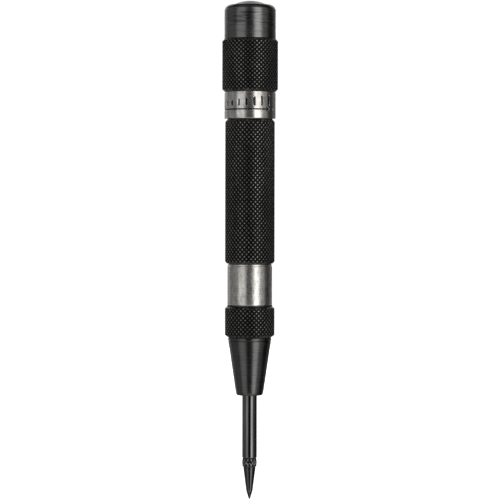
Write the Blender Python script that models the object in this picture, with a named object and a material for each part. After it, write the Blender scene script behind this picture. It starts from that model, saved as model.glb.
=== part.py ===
"""Automatic centre punch: a spring-loaded striker in a knurled barrel, with a screw-down tension cap.

The tool stands on its tip: the axis is +Z, the origin is the very tip of the point, and every turned
piece is a solid of revolution about that axis. All sizes are in metres.

How it works: pressing the tool down slides the plunger up into the barrel. The trip pin on top of the
plunger pushes the trigger, and with it the hammer, up against the main spring. Near the top of the
stroke the narrower bore pushes the trigger sideways until its hole lines up with the trip pin, and the
hammer drops on the plunger. Turning the cap moves the spring seat and so sets the force of the blow.
The stroke is 12 mm. The cap is modelled screwed right down, and backs off by 4 mm on a 1 mm pitch.
"""

import math

import bmesh
import bpy
from mathutils import Matrix, Vector

# ---- Driving dimensions -------------------------------------------------------------------------

OVERALL_LENGTH = 0.1280
BARREL_R = 0.00636
CAP_KNURL_R = 0.00715
ROD_R = 0.0019

SLIDE_GAP = 0.00015
SEAT_GAP = 0.0003
EDGE_CHAMFER = 0.0003
DRILL_POINT = 0.0004

OUTER_SEGMENTS = 40
INNER_SEGMENTS = 24

# ---- Heights along the axis, from the tip up ------------------------------------------------------

TIP_CONE_TOP = 0.00205
POINT_TAPER_TOP = 0.0080
POINT_COLLAR_BOTTOM = 0.0084
POINT_COLLAR_TOP = 0.01045
PLUNGER_BOTTOM = POINT_COLLAR_TOP + SEAT_GAP
POINT_SHANK_TOP = 0.0163

NOSE_BOTTOM = 0.02677
NOSE_CHAMBER_BOTTOM = 0.0310
NOSE_CONE_TOP = 0.0416
NOSE_SOCKET_BOTTOM = 0.0420
NOSE_KNURL_BOTTOM = 0.0424
NOSE_KNURL_TOP = 0.0488
NOSE_FLANGE_BOTTOM = 0.04945
NOSE_TOP = 0.04995

COLLAR_BOTTOM = NOSE_CHAMBER_BOTTOM + SEAT_GAP
COLLAR_TOP = 0.0335
HEAD_BOTTOM = 0.0440
HEAD_TOP = 0.0510
TRIP_PIN_BOTTOM = 0.0460
TRIP_PIN_TOP = 0.0673

BARREL_BOTTOM = NOSE_SOCKET_BOTTOM + SEAT_GAP
BAND_BOTTOM = NOSE_TOP + SEAT_GAP
BAND_TOP = 0.06035
KNURL_BOTTOM = 0.06105
KNURL_TOP = 0.09695
BARREL_SHOULDER = 0.0974
BARREL_TOP = 0.1165
GUIDE_BOTTOM = 0.0570
HAMMER_REST = 0.0620
TAPER_BOTTOM = 0.0755
TAPER_TOP = 0.0785

HAMMER_BOTTOM = HAMMER_REST + SEAT_GAP
HAMMER_TOP = 0.0863
HAMMER_BORE_TOP = 0.0800
HAMMER_SPIGOT_TOP = 0.0893
TRIGGER_BOTTOM = 0.06765
TRIGGER_TOP = 0.07035

SEAT_SPIGOT_BOTTOM = 0.1084
SEAT_BOTTOM = 0.1112
SEAT_TOP = 0.1130

CAP_BOTTOM = BARREL_SHOULDER + SEAT_GAP
CAP_BAND_TOP = 0.1047
CAP_KNURL_BOTTOM = 0.1053
CAP_KNURL_TOP = 0.11745
CAP_TOP_BOTTOM = 0.11815
CAP_RIM = 0.12695
CAP_ROOF = 0.1170
CAP_STUD_BOTTOM = SEAT_TOP + SEAT_GAP
CAP_RECESS_BOTTOM = 0.1225
CAP_PLUG_HOLE_BOTTOM = 0.1195

# ---- Radii ------------------------------------------------------------------------------------

TIP_FLAT_R = 0.00016
TIP_CONE_R = 0.00081
POINT_TAPER_R = 0.00158
POINT_COLLAR_R = 0.00187
POINT_SHANK_R = 0.0012

PLUNGER_HEAD_R = 0.0023
TRIP_PIN_R = 0.0013
COLLAR_R = 0.00325
PRESS_GAP = 0.0001

NOSE_END_R = 0.00343
NOSE_CONE_TOP_R = 0.00564
NOSE_FLANGE_R = 0.00583
SPRING_CHAMBER_R = 0.00345
SPIGOT_R = 0.0046

BAND_R = 0.00573
NECK_R = 0.0052
GUIDE_R = PLUNGER_HEAD_R + SLIDE_GAP
HAMMER_R = 0.0038
BORE_R = 0.00405
LOWER_BORE_R = 0.00455
SHOULDER_R = 0.00595
HAMMER_BORE_R = 0.00155
SPRING_SPIGOT_R = 0.0024

CAP_TOP_R = 0.00662
CAP_BAND_R = 0.006575
CAP_STUD_R = 0.0030
CAP_EDGE_ROUND = 0.00172
PLUG_R = 0.0047
PLUG_STEM_R = 0.0025

# ---- Trigger ------------------------------------------------------------------------------------

TRIGGER_SHIFT = 0.0008
TRIGGER_REACH = 0.0043
TRIGGER_BACK = 0.0016
TRIGGER_HALF_WIDTH = 0.0022
SLOT_BACK = TRIGGER_BACK + TRIGGER_SHIFT + PRESS_GAP
TRIGGER_POCKET_R = 0.0008
TRIGGER_POCKET_DEPTH = 0.0004
HAMMER_POCKET_R = 0.00085
HAMMER_POCKET_BACK = 0.00335
TRIGGER_MIDDLE = (TRIGGER_BOTTOM + TRIGGER_TOP) / 2


# ---- Materials ----------------------------------------------------------------------------------


def steel(name, colour, roughness):
    """A metallic Principled material with the given base colour and roughness."""
    material = bpy.data.materials.new(name)
    material.use_nodes = True
    shader = material.node_tree.nodes["Principled BSDF"]
    shader.inputs["Base Color"].default_value = (*colour, 1.0)
    shader.inputs["Metallic"].default_value = 1.0
    shader.inputs["Roughness"].default_value = roughness
    return material


def black_oxide(part):
    return steel(part + "_black_oxide", (0.045, 0.045, 0.047), 0.42)


def glossy_black_oxide(part):
    return steel(part + "_glossy_black_oxide", (0.05, 0.05, 0.052), 0.22)


def bright_steel(part):
    return steel(part + "_bright_steel", (0.48, 0.47, 0.45), 0.3)


def hardened_steel(part):
    return steel(part + "_hardened_steel", (0.32, 0.31, 0.30), 0.35)


def spring_steel(part):
    return steel(part + "_spring_steel", (0.22, 0.22, 0.23), 0.3)


def button_steel(part):
    return steel(part + "_button_steel", (0.16, 0.16, 0.155), 0.28)


# ---- Modelling helpers ----------------------------------------------------------------------------


def add_object(name, mesh, material):
    mesh.materials.append(material)
    mesh.shade_smooth()
    mesh.set_sharp_from_angle(angle=math.radians(25))
    obj = bpy.data.objects.new(name, mesh)
    bpy.context.scene.collection.objects.link(obj)
    return obj


def mesh_from(bm, name):
    bmesh.ops.recalc_face_normals(bm, faces=bm.faces)
    mesh = bpy.data.meshes.new(name)
    bm.to_mesh(mesh)
    bm.free()
    return mesh


def turned(name, outline, material, segments=OUTER_SEGMENTS):
    """Spins a closed outline of (radius, height) points about Z. Its edge along the axis is left out."""
    bm = bmesh.new()
    verts = [bm.verts.new((r, 0.0, z)) for r, z in outline]
    edges = []
    for first, second in zip(verts, verts[1:] + verts[:1]):
        if first.co.x > 0 or second.co.x > 0:
            edges.append(bm.edges.new((first, second)))
    bmesh.ops.spin(
        bm, geom=verts + edges, cent=(0, 0, 0), axis=(0, 0, 1),
        angle=math.tau, steps=segments, use_merge=True,
    )
    bmesh.ops.remove_doubles(bm, verts=bm.verts, dist=1e-6)
    return add_object(name, mesh_from(bm, name), material)


def arc(centre, radius, start_deg, end_deg, steps):
    """Points of (radius, height) along an arc in the outline's plane."""
    points = []
    for i in range(steps + 1):
        angle = math.radians(start_deg + (end_deg - start_deg) * i / steps)
        points.append((centre[0] + radius * math.cos(angle), centre[1] + radius * math.sin(angle)))
    return points


def rod_outline(radius, bottom, top, chamfer=EDGE_CHAMFER):
    """A plain chamfered cylinder."""
    return [
        (0.0, bottom), (radius - chamfer, bottom), (radius, bottom + chamfer),
        (radius, top - chamfer), (radius - chamfer, top), (0.0, top),
    ]


def coil_spring(name, material, mean_r, wire_r, bottom, top, turns, per_turn, sides, place=None):
    """A round-wire compression spring along Z with one closed turn at each end, moved by place."""
    closed_rise = 2.2 * wire_r
    open_turns = turns - 2
    open_rise = (top - bottom - 2 * wire_r - 2 * closed_rise) / open_turns
    bm = bmesh.new()
    rings = []
    for i in range(round(turns * per_turn) + 1):
        turn = i / per_turn
        height = bottom + wire_r + closed_rise * min(turn, 1.0)
        height += open_rise * min(max(turn - 1.0, 0.0), open_turns)
        height += closed_rise * max(turn - 1.0 - open_turns, 0.0)
        around = math.tau * turn
        outward = Vector((math.cos(around), math.sin(around), 0.0))
        ring = []
        for k in range(sides):
            phi = math.tau * k / sides
            offset = outward * (mean_r + wire_r * math.cos(phi))
            ring.append(bm.verts.new(offset + Vector((0, 0, height + wire_r * math.sin(phi)))))
        rings.append(ring)
    for low, high in zip(rings, rings[1:]):
        for k in range(sides):
            after = (k + 1) % sides
            bm.faces.new((low[k], low[after], high[after], high[k]))
    bm.faces.new(list(reversed(rings[0])))
    bm.faces.new(rings[-1])
    if place is not None:
        bmesh.ops.transform(bm, matrix=place, verts=bm.verts)
    return add_object(name, mesh_from(bm, name), material)


def cut(target, cutter):
    """Cuts one object from another with a Boolean that stays on the target."""
    cutter.hide_render = True
    cutter.display_type = "WIRE"
    modifier = target.modifiers.new("cut_" + cutter.name, "BOOLEAN")
    modifier.operation = "DIFFERENCE"
    modifier.solver = "EXACT"
    modifier.object = cutter


def box_cutter(name, low, high, material):
    low, high = Vector(low), Vector(high)
    bm = bmesh.new()
    place = Matrix.Translation((low + high) / 2) @ Matrix.Diagonal((*(high - low), 1.0))
    bmesh.ops.create_cube(bm, size=1.0, matrix=place)
    return add_object(name, mesh_from(bm, name), material)


def round_cutter(name, radius, start, end, material, segments=INNER_SEGMENTS):
    """A cylinder from start to end."""
    start, end = Vector(start), Vector(end)
    axis = end - start
    turn = axis.to_track_quat("Z", "Y").to_matrix().to_4x4()
    bm = bmesh.new()
    bmesh.ops.create_cone(
        bm, cap_ends=True, segments=segments, radius1=radius, radius2=radius,
        depth=axis.length, matrix=Matrix.Translation((start + end) / 2) @ turn,
    )
    return add_object(name, mesh_from(bm, name), material)


# ---- Plunger group --------------------------------------------------------------------------------


def make_punch_point(name):
    """The screw-in point: tip, long taper, finger collar and threaded shank."""
    collar_chamfer = 0.00025
    outline = [
        (0.0, 0.0), (TIP_FLAT_R, 0.0), (TIP_CONE_R, TIP_CONE_TOP), (POINT_TAPER_R, POINT_TAPER_TOP),
        (POINT_COLLAR_R, POINT_COLLAR_BOTTOM), (POINT_COLLAR_R, POINT_COLLAR_TOP - collar_chamfer),
        (POINT_COLLAR_R - collar_chamfer, POINT_COLLAR_TOP), (POINT_SHANK_R, POINT_COLLAR_TOP),
        (POINT_SHANK_R, POINT_SHANK_TOP - EDGE_CHAMFER),
        (POINT_SHANK_R - EDGE_CHAMFER, POINT_SHANK_TOP), (0.0, POINT_SHANK_TOP),
    ]
    return turned(name, outline, glossy_black_oxide(name), INNER_SEGMENTS)


def make_plunger(name):
    """The sliding rod: a threaded socket below for the point, a head above bored for the trip pin."""
    socket_r = POINT_SHANK_R + SLIDE_GAP
    socket_top = POINT_SHANK_TOP + 0.0005
    pin_bore_r = TRIP_PIN_R + PRESS_GAP
    pin_bore_bottom = TRIP_PIN_BOTTOM - SEAT_GAP
    outline = [
        (0.0, socket_top + DRILL_POINT), (socket_r, socket_top), (socket_r, PLUNGER_BOTTOM),
        (ROD_R - SLIDE_GAP, PLUNGER_BOTTOM), (ROD_R, PLUNGER_BOTTOM + SLIDE_GAP),
        (ROD_R, HEAD_BOTTOM), (PLUNGER_HEAD_R, HEAD_BOTTOM + PLUNGER_HEAD_R - ROD_R),
        (PLUNGER_HEAD_R, HEAD_TOP - EDGE_CHAMFER), (PLUNGER_HEAD_R - EDGE_CHAMFER, HEAD_TOP),
        (pin_bore_r, HEAD_TOP), (pin_bore_r, pin_bore_bottom), (0.0, pin_bore_bottom - DRILL_POINT),
    ]
    return turned(name, outline, glossy_black_oxide(name), INNER_SEGMENTS)


def make_plunger_collar(name):
    """The stop collar pressed on the rod. It rests on the nose and carries the return spring."""
    inner_r = ROD_R + PRESS_GAP
    outline = [
        (inner_r, COLLAR_BOTTOM), (COLLAR_R - EDGE_CHAMFER, COLLAR_BOTTOM),
        (COLLAR_R, COLLAR_BOTTOM + EDGE_CHAMFER), (COLLAR_R, COLLAR_TOP - EDGE_CHAMFER),
        (COLLAR_R - EDGE_CHAMFER, COLLAR_TOP), (inner_r, COLLAR_TOP),
    ]
    return turned(name, outline, hardened_steel(name), INNER_SEGMENTS)


def make_trip_pin(name):
    """The hardened pin in the plunger's head that lifts the trigger and the hammer."""
    outline = rod_outline(TRIP_PIN_R, TRIP_PIN_BOTTOM, TRIP_PIN_TOP)
    return turned(name, outline, hardened_steel(name), INNER_SEGMENTS)


def make_return_spring(name):
    """The light spring that pushes the plunger out again."""
    wire_r = 0.00026
    return coil_spring(
        name, spring_steel(name), mean_r=0.0029, wire_r=wire_r, bottom=COLLAR_TOP + SEAT_GAP,
        top=GUIDE_BOTTOM - SEAT_GAP, turns=11, per_turn=12, sides=5,
    )


# ---- Body group -----------------------------------------------------------------------------------


def make_nose_cone(name):
    """The tapered nose with its knurled collar, bored for the plunger and threaded for the barrel."""
    hole_r = ROD_R + SLIDE_GAP
    socket_r = SPIGOT_R + SLIDE_GAP
    end_round = 0.0004
    rounding = arc((NOSE_END_R - end_round, NOSE_BOTTOM + end_round), end_round, -90, 0, 3)
    outline = [
        (hole_r + EDGE_CHAMFER, NOSE_BOTTOM), *rounding, (NOSE_CONE_TOP_R, NOSE_CONE_TOP),
        (BARREL_R, NOSE_KNURL_BOTTOM), (BARREL_R, NOSE_KNURL_TOP),
        (NOSE_FLANGE_R, NOSE_FLANGE_BOTTOM), (NOSE_FLANGE_R, NOSE_TOP), (socket_r, NOSE_TOP),
        (socket_r, NOSE_SOCKET_BOTTOM), (SPRING_CHAMBER_R, NOSE_SOCKET_BOTTOM),
        (SPRING_CHAMBER_R, NOSE_CHAMBER_BOTTOM), (hole_r, NOSE_CHAMBER_BOTTOM),
        (hole_r, NOSE_BOTTOM + EDGE_CHAMFER),
    ]
    return turned(name, outline, black_oxide(name))


def make_barrel(name):
    """The grip: threaded spigot, bright band, knurled length and threaded neck, with a stepped bore."""
    undercut = 0.0001
    outline = [
        (SPRING_CHAMBER_R, BARREL_BOTTOM), (SPIGOT_R - EDGE_CHAMFER, BARREL_BOTTOM),
        (SPIGOT_R, BARREL_BOTTOM + EDGE_CHAMFER), (SPIGOT_R, BAND_BOTTOM),
        (BAND_R - undercut, BAND_BOTTOM), (BAND_R, BAND_BOTTOM + undercut),
        (BAND_R, BAND_TOP - undercut), (BAND_R - undercut, BAND_TOP), (BARREL_R, KNURL_BOTTOM),
        (BARREL_R, KNURL_TOP), (SHOULDER_R, BARREL_SHOULDER), (NECK_R, BARREL_SHOULDER),
        (NECK_R, BARREL_TOP - EDGE_CHAMFER), (NECK_R - EDGE_CHAMFER, BARREL_TOP),
        (BORE_R + EDGE_CHAMFER, BARREL_TOP), (BORE_R, BARREL_TOP - EDGE_CHAMFER),
        (BORE_R, TAPER_TOP), (LOWER_BORE_R, TAPER_BOTTOM), (LOWER_BORE_R, HAMMER_REST),
        (GUIDE_R, HAMMER_REST), (GUIDE_R, GUIDE_BOTTOM), (SPRING_CHAMBER_R, GUIDE_BOTTOM),
    ]
    return turned(name, outline, black_oxide(name))


# ---- Striker group --------------------------------------------------------------------------------


def make_hammer(name):
    """The striking block: an axial bore for the trip pin and a cross slot for the trigger."""
    outline = [
        (HAMMER_BORE_R, HAMMER_BOTTOM), (HAMMER_R - EDGE_CHAMFER, HAMMER_BOTTOM),
        (HAMMER_R, HAMMER_BOTTOM + EDGE_CHAMFER), (HAMMER_R, HAMMER_TOP - EDGE_CHAMFER),
        (HAMMER_R - EDGE_CHAMFER, HAMMER_TOP), (SPRING_SPIGOT_R, HAMMER_TOP),
        (SPRING_SPIGOT_R, HAMMER_SPIGOT_TOP - EDGE_CHAMFER),
        (SPRING_SPIGOT_R - EDGE_CHAMFER, HAMMER_SPIGOT_TOP), (0.0, HAMMER_SPIGOT_TOP),
        (0.0, HAMMER_BORE_TOP + DRILL_POINT), (HAMMER_BORE_R, HAMMER_BORE_TOP),
    ]
    material = hardened_steel(name)
    hammer = turned(name, outline, material, INNER_SEGMENTS)
    slot_half_width = TRIGGER_HALF_WIDTH + SLIDE_GAP
    slot = box_cutter(
        "hammer_slot", (-SLOT_BACK, -slot_half_width, TRIGGER_BOTTOM - SLIDE_GAP),
        (2 * HAMMER_R, slot_half_width, TRIGGER_TOP + SLIDE_GAP), material,
    )
    pocket = round_cutter(
        "hammer_pocket", HAMMER_POCKET_R, (-HAMMER_POCKET_BACK, 0, TRIGGER_MIDDLE),
        (0, 0, TRIGGER_MIDDLE), material, segments=16,
    )
    cut(hammer, slot)
    cut(hammer, pocket)
    return hammer


def make_trigger(name):
    """The sliding block in the hammer. Its hole is off the axis until the bore pushes it across."""
    side = math.asin(TRIGGER_HALF_WIDTH / TRIGGER_REACH)
    nose_steps = 8
    outline = [(-TRIGGER_BACK, TRIGGER_HALF_WIDTH), (-TRIGGER_BACK, -TRIGGER_HALF_WIDTH)]
    for i in range(nose_steps + 1):
        angle = -side + 2 * side * i / nose_steps
        outline.append((TRIGGER_REACH * math.cos(angle), TRIGGER_REACH * math.sin(angle)))
    bm = bmesh.new()
    base = bm.faces.new([bm.verts.new((x, y, TRIGGER_BOTTOM)) for x, y in outline])
    grown = bmesh.ops.extrude_face_region(bm, geom=[base])["geom"]
    raised = [v for v in grown if isinstance(v, bmesh.types.BMVert)]
    bmesh.ops.translate(bm, verts=raised, vec=(0, 0, TRIGGER_TOP - TRIGGER_BOTTOM))
    material = hardened_steel(name)
    trigger = add_object(name, mesh_from(bm, name), material)
    hole = round_cutter(
        "trigger_hole", HAMMER_BORE_R, (TRIGGER_SHIFT, 0, TRIGGER_BOTTOM - HAMMER_R),
        (TRIGGER_SHIFT, 0, TRIGGER_TOP + HAMMER_R), material,
    )
    pocket = round_cutter(
        "trigger_pocket", TRIGGER_POCKET_R, (-2 * TRIGGER_BACK, 0, TRIGGER_MIDDLE),
        (TRIGGER_POCKET_DEPTH - TRIGGER_BACK, 0, TRIGGER_MIDDLE), material, segments=16,
    )
    cut(trigger, hole)
    cut(trigger, pocket)
    return trigger


def make_trigger_spring(name):
    """The tiny spring that holds the trigger off the axis. It lies along X in the hammer's pocket."""
    clear = 0.00005
    start = -HAMMER_POCKET_BACK + clear
    end = TRIGGER_POCKET_DEPTH - TRIGGER_BACK - clear
    place = Matrix.Translation((start, 0, TRIGGER_MIDDLE)) @ Matrix.Rotation(math.pi / 2, 4, "Y")
    return coil_spring(
        name, spring_steel(name), mean_r=0.00055, wire_r=0.0001, bottom=0.0, top=end - start,
        turns=4.5, per_turn=10, sides=4, place=place,
    )


def make_main_spring(name):
    """The heavy spring that drives the hammer."""
    return coil_spring(
        name, spring_steel(name), mean_r=0.0032, wire_r=0.00055, bottom=HAMMER_TOP + SEAT_GAP,
        top=SEAT_BOTTOM - SEAT_GAP, turns=9.5, per_turn=14, sides=6,
    )


# ---- Cap group ------------------------------------------------------------------------------------


def make_spring_seat(name):
    """The thrust button between the main spring and the cap's stud."""
    outline = [
        (0.0, SEAT_SPIGOT_BOTTOM), (SPRING_SPIGOT_R - EDGE_CHAMFER, SEAT_SPIGOT_BOTTOM),
        (SPRING_SPIGOT_R, SEAT_SPIGOT_BOTTOM + EDGE_CHAMFER), (SPRING_SPIGOT_R, SEAT_BOTTOM),
        (HAMMER_R - EDGE_CHAMFER, SEAT_BOTTOM), (HAMMER_R, SEAT_BOTTOM + EDGE_CHAMFER),
        (HAMMER_R, SEAT_TOP - EDGE_CHAMFER), (HAMMER_R - EDGE_CHAMFER, SEAT_TOP), (0.0, SEAT_TOP),
    ]
    return turned(name, outline, bright_steel(name), INNER_SEGMENTS)


def make_adjusting_cap(name):
    """The screw-down tension cap: bright skirt band, knurled grip, plain crown and inner stud."""
    bore_r = NECK_R + SLIDE_GAP
    skirt_edge = 0.0001
    neck_r = CAP_BAND_R - skirt_edge
    recess_r = PLUG_R + SLIDE_GAP
    plug_hole_r = PLUG_STEM_R + PRESS_GAP
    crown_centre = (CAP_TOP_R - CAP_EDGE_ROUND, CAP_RIM - CAP_EDGE_ROUND)
    outline = [
        (0.0, CAP_STUD_BOTTOM), (CAP_STUD_R - EDGE_CHAMFER, CAP_STUD_BOTTOM),
        (CAP_STUD_R, CAP_STUD_BOTTOM + EDGE_CHAMFER), (CAP_STUD_R, CAP_ROOF), (bore_r, CAP_ROOF),
        (bore_r, CAP_BOTTOM + EDGE_CHAMFER), (bore_r + EDGE_CHAMFER, CAP_BOTTOM),
        (CAP_BAND_R - skirt_edge, CAP_BOTTOM), (CAP_BAND_R, CAP_BOTTOM + skirt_edge),
        (CAP_BAND_R, CAP_BAND_TOP - EDGE_CHAMFER), (neck_r, CAP_BAND_TOP),
        (CAP_KNURL_R, CAP_KNURL_BOTTOM), (CAP_KNURL_R, CAP_KNURL_TOP), (CAP_TOP_R, CAP_TOP_BOTTOM),
        *arc(crown_centre, CAP_EDGE_ROUND, 0, 90, 6), (recess_r, CAP_RIM),
        (recess_r, CAP_RECESS_BOTTOM), (plug_hole_r, CAP_RECESS_BOTTOM),
        (plug_hole_r, CAP_PLUG_HOLE_BOTTOM), (0.0, CAP_PLUG_HOLE_BOTTOM - DRILL_POINT),
    ]
    return turned(name, outline, black_oxide(name))


def make_cap_end_plug(name):
    """The domed end button, pressed into the cap by its stem."""
    edge = CAP_RIM - SLIDE_GAP
    dome_height = OVERALL_LENGTH - edge
    dome_r = (PLUG_R**2 + dome_height**2) / (2 * dome_height)
    rim_deg = math.degrees(math.acos(PLUG_R / dome_r))
    dome = arc((0.0, OVERALL_LENGTH - dome_r), dome_r, rim_deg, 90, 6)
    disc_bottom = CAP_RECESS_BOTTOM + SEAT_GAP
    stem_bottom = CAP_PLUG_HOLE_BOTTOM + SEAT_GAP
    outline = [
        (0.0, stem_bottom), (PLUG_STEM_R, stem_bottom), (PLUG_STEM_R, disc_bottom),
        (PLUG_R, disc_bottom), *dome[:-1], (0.0, OVERALL_LENGTH),
    ]
    return turned(name, outline, button_steel(name))


# ---- Assembly -------------------------------------------------------------------------------------


def set_joint_origin(name, members, origin):
    """Parents the pieces that move together to an empty on their joint's axis."""
    empty = bpy.data.objects.new(name, None)
    empty.location = origin
    empty.empty_display_size = BARREL_R
    bpy.context.scene.collection.objects.link(empty)
    for member in members:
        member.parent = empty
        member.matrix_parent_inverse = Matrix.Translation(-Vector(origin))


def main():
    for obj in list(bpy.data.objects):
        bpy.data.objects.remove(obj, do_unlink=True)

    make_nose_cone("nose_cone")
    make_barrel("barrel")
    make_return_spring("return_spring")
    plunger_group = [
        make_plunger("plunger"), make_plunger_collar("plunger_collar"),
        make_trip_pin("trip_pin"), make_punch_point("punch_point"),
    ]
    hammer_group = [make_hammer("hammer"), make_trigger_spring("trigger_spring")]
    trigger_group = [make_trigger("trigger")]
    seat_group = [make_spring_seat("spring_seat"), make_main_spring("main_spring")]
    cap_group = [make_adjusting_cap("adjusting_cap"), make_cap_end_plug("cap_end_plug")]

    set_joint_origin("plunger_slide_axis", plunger_group, (0, 0, PLUNGER_BOTTOM))
    set_joint_origin("hammer_slide_axis", hammer_group, (0, 0, HAMMER_BOTTOM))
    set_joint_origin("trigger_slide_axis", trigger_group, (TRIGGER_SHIFT, 0, TRIGGER_MIDDLE))
    set_joint_origin("seat_slide_axis", seat_group, (0, 0, SEAT_BOTTOM))
    set_joint_origin("cap_turn_axis", cap_group, (0, 0, CAP_BOTTOM))


main()
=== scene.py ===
"""The looks of the automatic centre punch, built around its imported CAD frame.

Every visible piece is turned about the tool's axis: a stack of rings, whose radius is a number on plain
stretches and varies with the angle on knurls, threads and engraved marks. Lengths are in metres.
"""

import math

import bpy
import numpy as np
from mathutils import Matrix, Vector


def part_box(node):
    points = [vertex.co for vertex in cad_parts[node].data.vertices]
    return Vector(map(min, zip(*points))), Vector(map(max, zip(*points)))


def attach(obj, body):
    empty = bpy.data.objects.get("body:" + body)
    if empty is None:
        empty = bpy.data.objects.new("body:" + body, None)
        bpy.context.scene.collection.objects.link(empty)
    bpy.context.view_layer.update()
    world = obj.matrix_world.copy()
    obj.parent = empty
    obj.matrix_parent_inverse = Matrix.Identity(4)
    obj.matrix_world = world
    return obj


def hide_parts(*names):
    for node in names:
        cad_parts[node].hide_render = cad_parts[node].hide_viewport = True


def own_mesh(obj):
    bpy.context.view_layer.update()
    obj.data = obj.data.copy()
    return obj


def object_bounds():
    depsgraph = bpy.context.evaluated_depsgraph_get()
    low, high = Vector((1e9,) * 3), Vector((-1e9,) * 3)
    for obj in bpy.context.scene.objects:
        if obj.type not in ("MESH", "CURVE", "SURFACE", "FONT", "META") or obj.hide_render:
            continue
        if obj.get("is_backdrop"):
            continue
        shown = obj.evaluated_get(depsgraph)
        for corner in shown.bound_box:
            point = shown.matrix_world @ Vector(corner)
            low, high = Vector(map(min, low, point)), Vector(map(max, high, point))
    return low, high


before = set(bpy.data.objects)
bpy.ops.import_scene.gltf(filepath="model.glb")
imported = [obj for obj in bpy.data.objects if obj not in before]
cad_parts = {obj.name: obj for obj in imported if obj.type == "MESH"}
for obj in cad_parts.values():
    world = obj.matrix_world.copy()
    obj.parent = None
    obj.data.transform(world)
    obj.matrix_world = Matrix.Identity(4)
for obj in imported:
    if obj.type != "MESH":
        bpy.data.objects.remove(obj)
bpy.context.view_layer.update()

TAU = math.tau
MM = 0.001


# ---- Landmarks from the frame -----------------------------------------------------------------------


def span(node):
    """(bottom, top, radius) of a CAD node that is centred on the axis."""
    low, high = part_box(node)
    return low.z, high.z, high.y


POINT_LOW, POINT_TOP, POINT_COLLAR_R = span("punch_point")
ROD_LOW, ROD_TOP, ROD_HEAD_R = span("plunger")
NOSE_LOW, NOSE_TOP, NOSE_R = span("nose_cone")
BARREL_LOW, BARREL_TOP, BARREL_R = span("barrel")
CAP_LOW, CAP_TOP, CAP_R = span("adjusting_cap")
PLUG_LOW, PLUG_TOP, PLUG_R = span("cap_end_plug")
MAIN_LOW, MAIN_TOP = span("main_spring")[:2]
RETURN_LOW, RETURN_TOP = span("return_spring")[:2]

# Heights on the visible profile, from the tip up.
POINT_COLLAR_LOW = POINT_LOW + 8.36 * MM
POINT_COLLAR_TOP = POINT_LOW + 10.62 * MM
NOSE_KNURL_LOW = NOSE_LOW + 14.87 * MM
NOSE_GROOVE = NOSE_KNURL_LOW - 0.85 * MM
NOSE_KNURL_TOP = NOSE_LOW + 22.85 * MM
BAND_LOW = NOSE_TOP + 0.06 * MM
BAND_TOP = BAND_LOW + 10.43 * MM
GRIP_LOW = BAND_TOP + 0.2 * MM
GRIP_TOP = CAP_LOW - 0.12 * MM
CAP_BAND_TOP = CAP_LOW + 6.96 * MM
CAP_KNURL_TOP = CAP_LOW + 20.45 * MM

# Radii of the plain stretches.
ROD_R = 1.9 * MM
BAND_R = 5.73 * MM
NECK_R = 5.2 * MM
CAP_BAND_R = 6.575 * MM
CAP_CROWN_R = 6.62 * MM

# The stepped bore, as in the CAD solids.
SPRING_CHAMBER_R = 3.45 * MM
GUIDE_R = 2.45 * MM
BORE_R = 4.05 * MM
LOWER_BORE_R = 4.55 * MM
CAP_BORE_R = 5.35 * MM

# Where a turned solid closes on the axis, it ends in a flat disc too small to see.
CENTRE_R = 0.02 * MM
ROD_CENTRE_R = 0.01 * MM


# ---- Turned meshes ----------------------------------------------------------------------------------

ROUNDING_STEPS = 4
ROUNDING_SHARE = 0.48
SHARP_DEG = 26.0


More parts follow.
